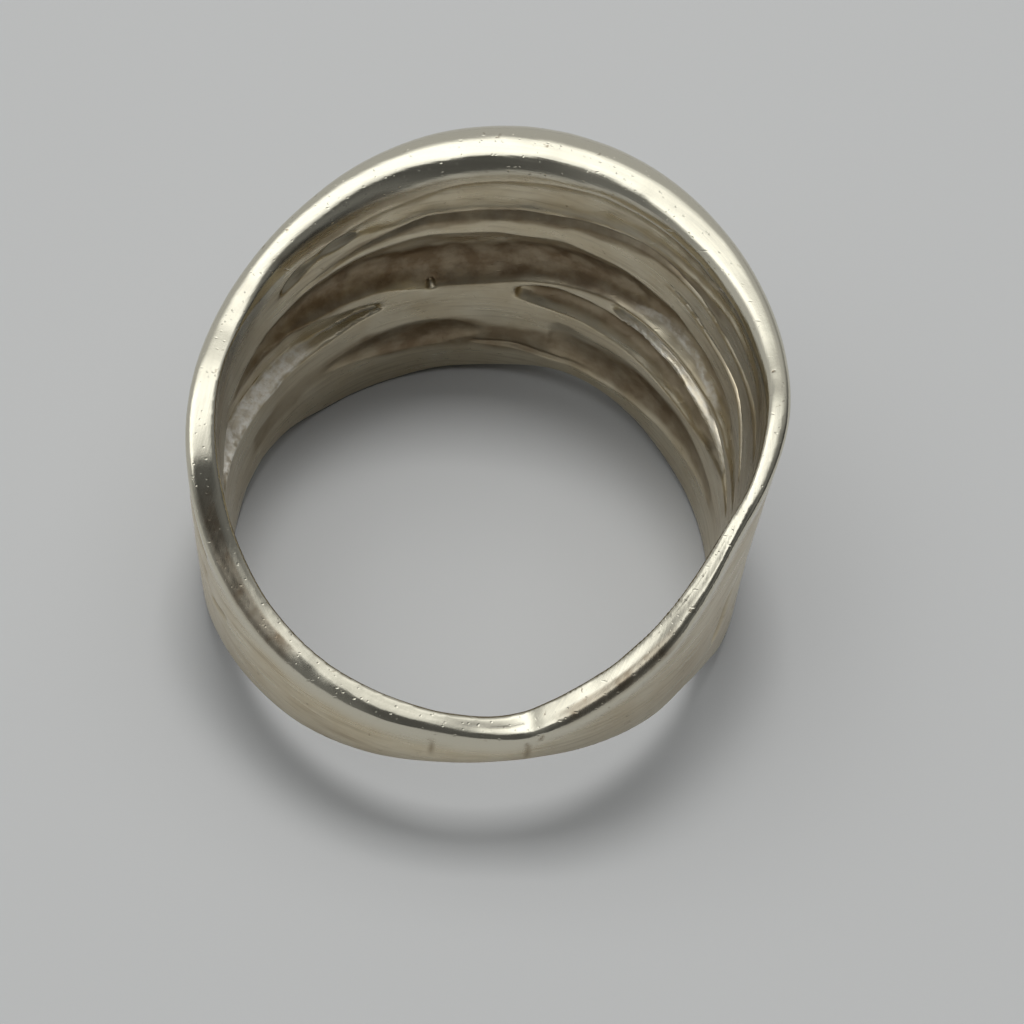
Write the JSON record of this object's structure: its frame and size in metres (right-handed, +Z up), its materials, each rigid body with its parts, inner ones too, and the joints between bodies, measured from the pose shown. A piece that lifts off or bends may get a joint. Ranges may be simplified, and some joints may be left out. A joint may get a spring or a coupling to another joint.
{
  "type": "silver band ring",
  "caption": "Finger ring with a wide folded band at the front that narrows to a thin shank, carved and slit inside.",
  "frame": {"origin": "under the middle of the ring's outline, level with the surface that the lower rim rests on, 0.4 mm in front of the finger hole's axis", "axes": "+Z up along the finger hole, +Y towards the wide front of the band, +X towards the ring's right side as the picture shows it"},
  "size_m": [0.0204, 0.0213, 0.0135],
  "materials": {
    "silver": "cast silver, polished and worn, tarnished in its hollows"
  },
  "bodies": {
    "root": {"ring": "silver"}
  },
  "joints": []
}
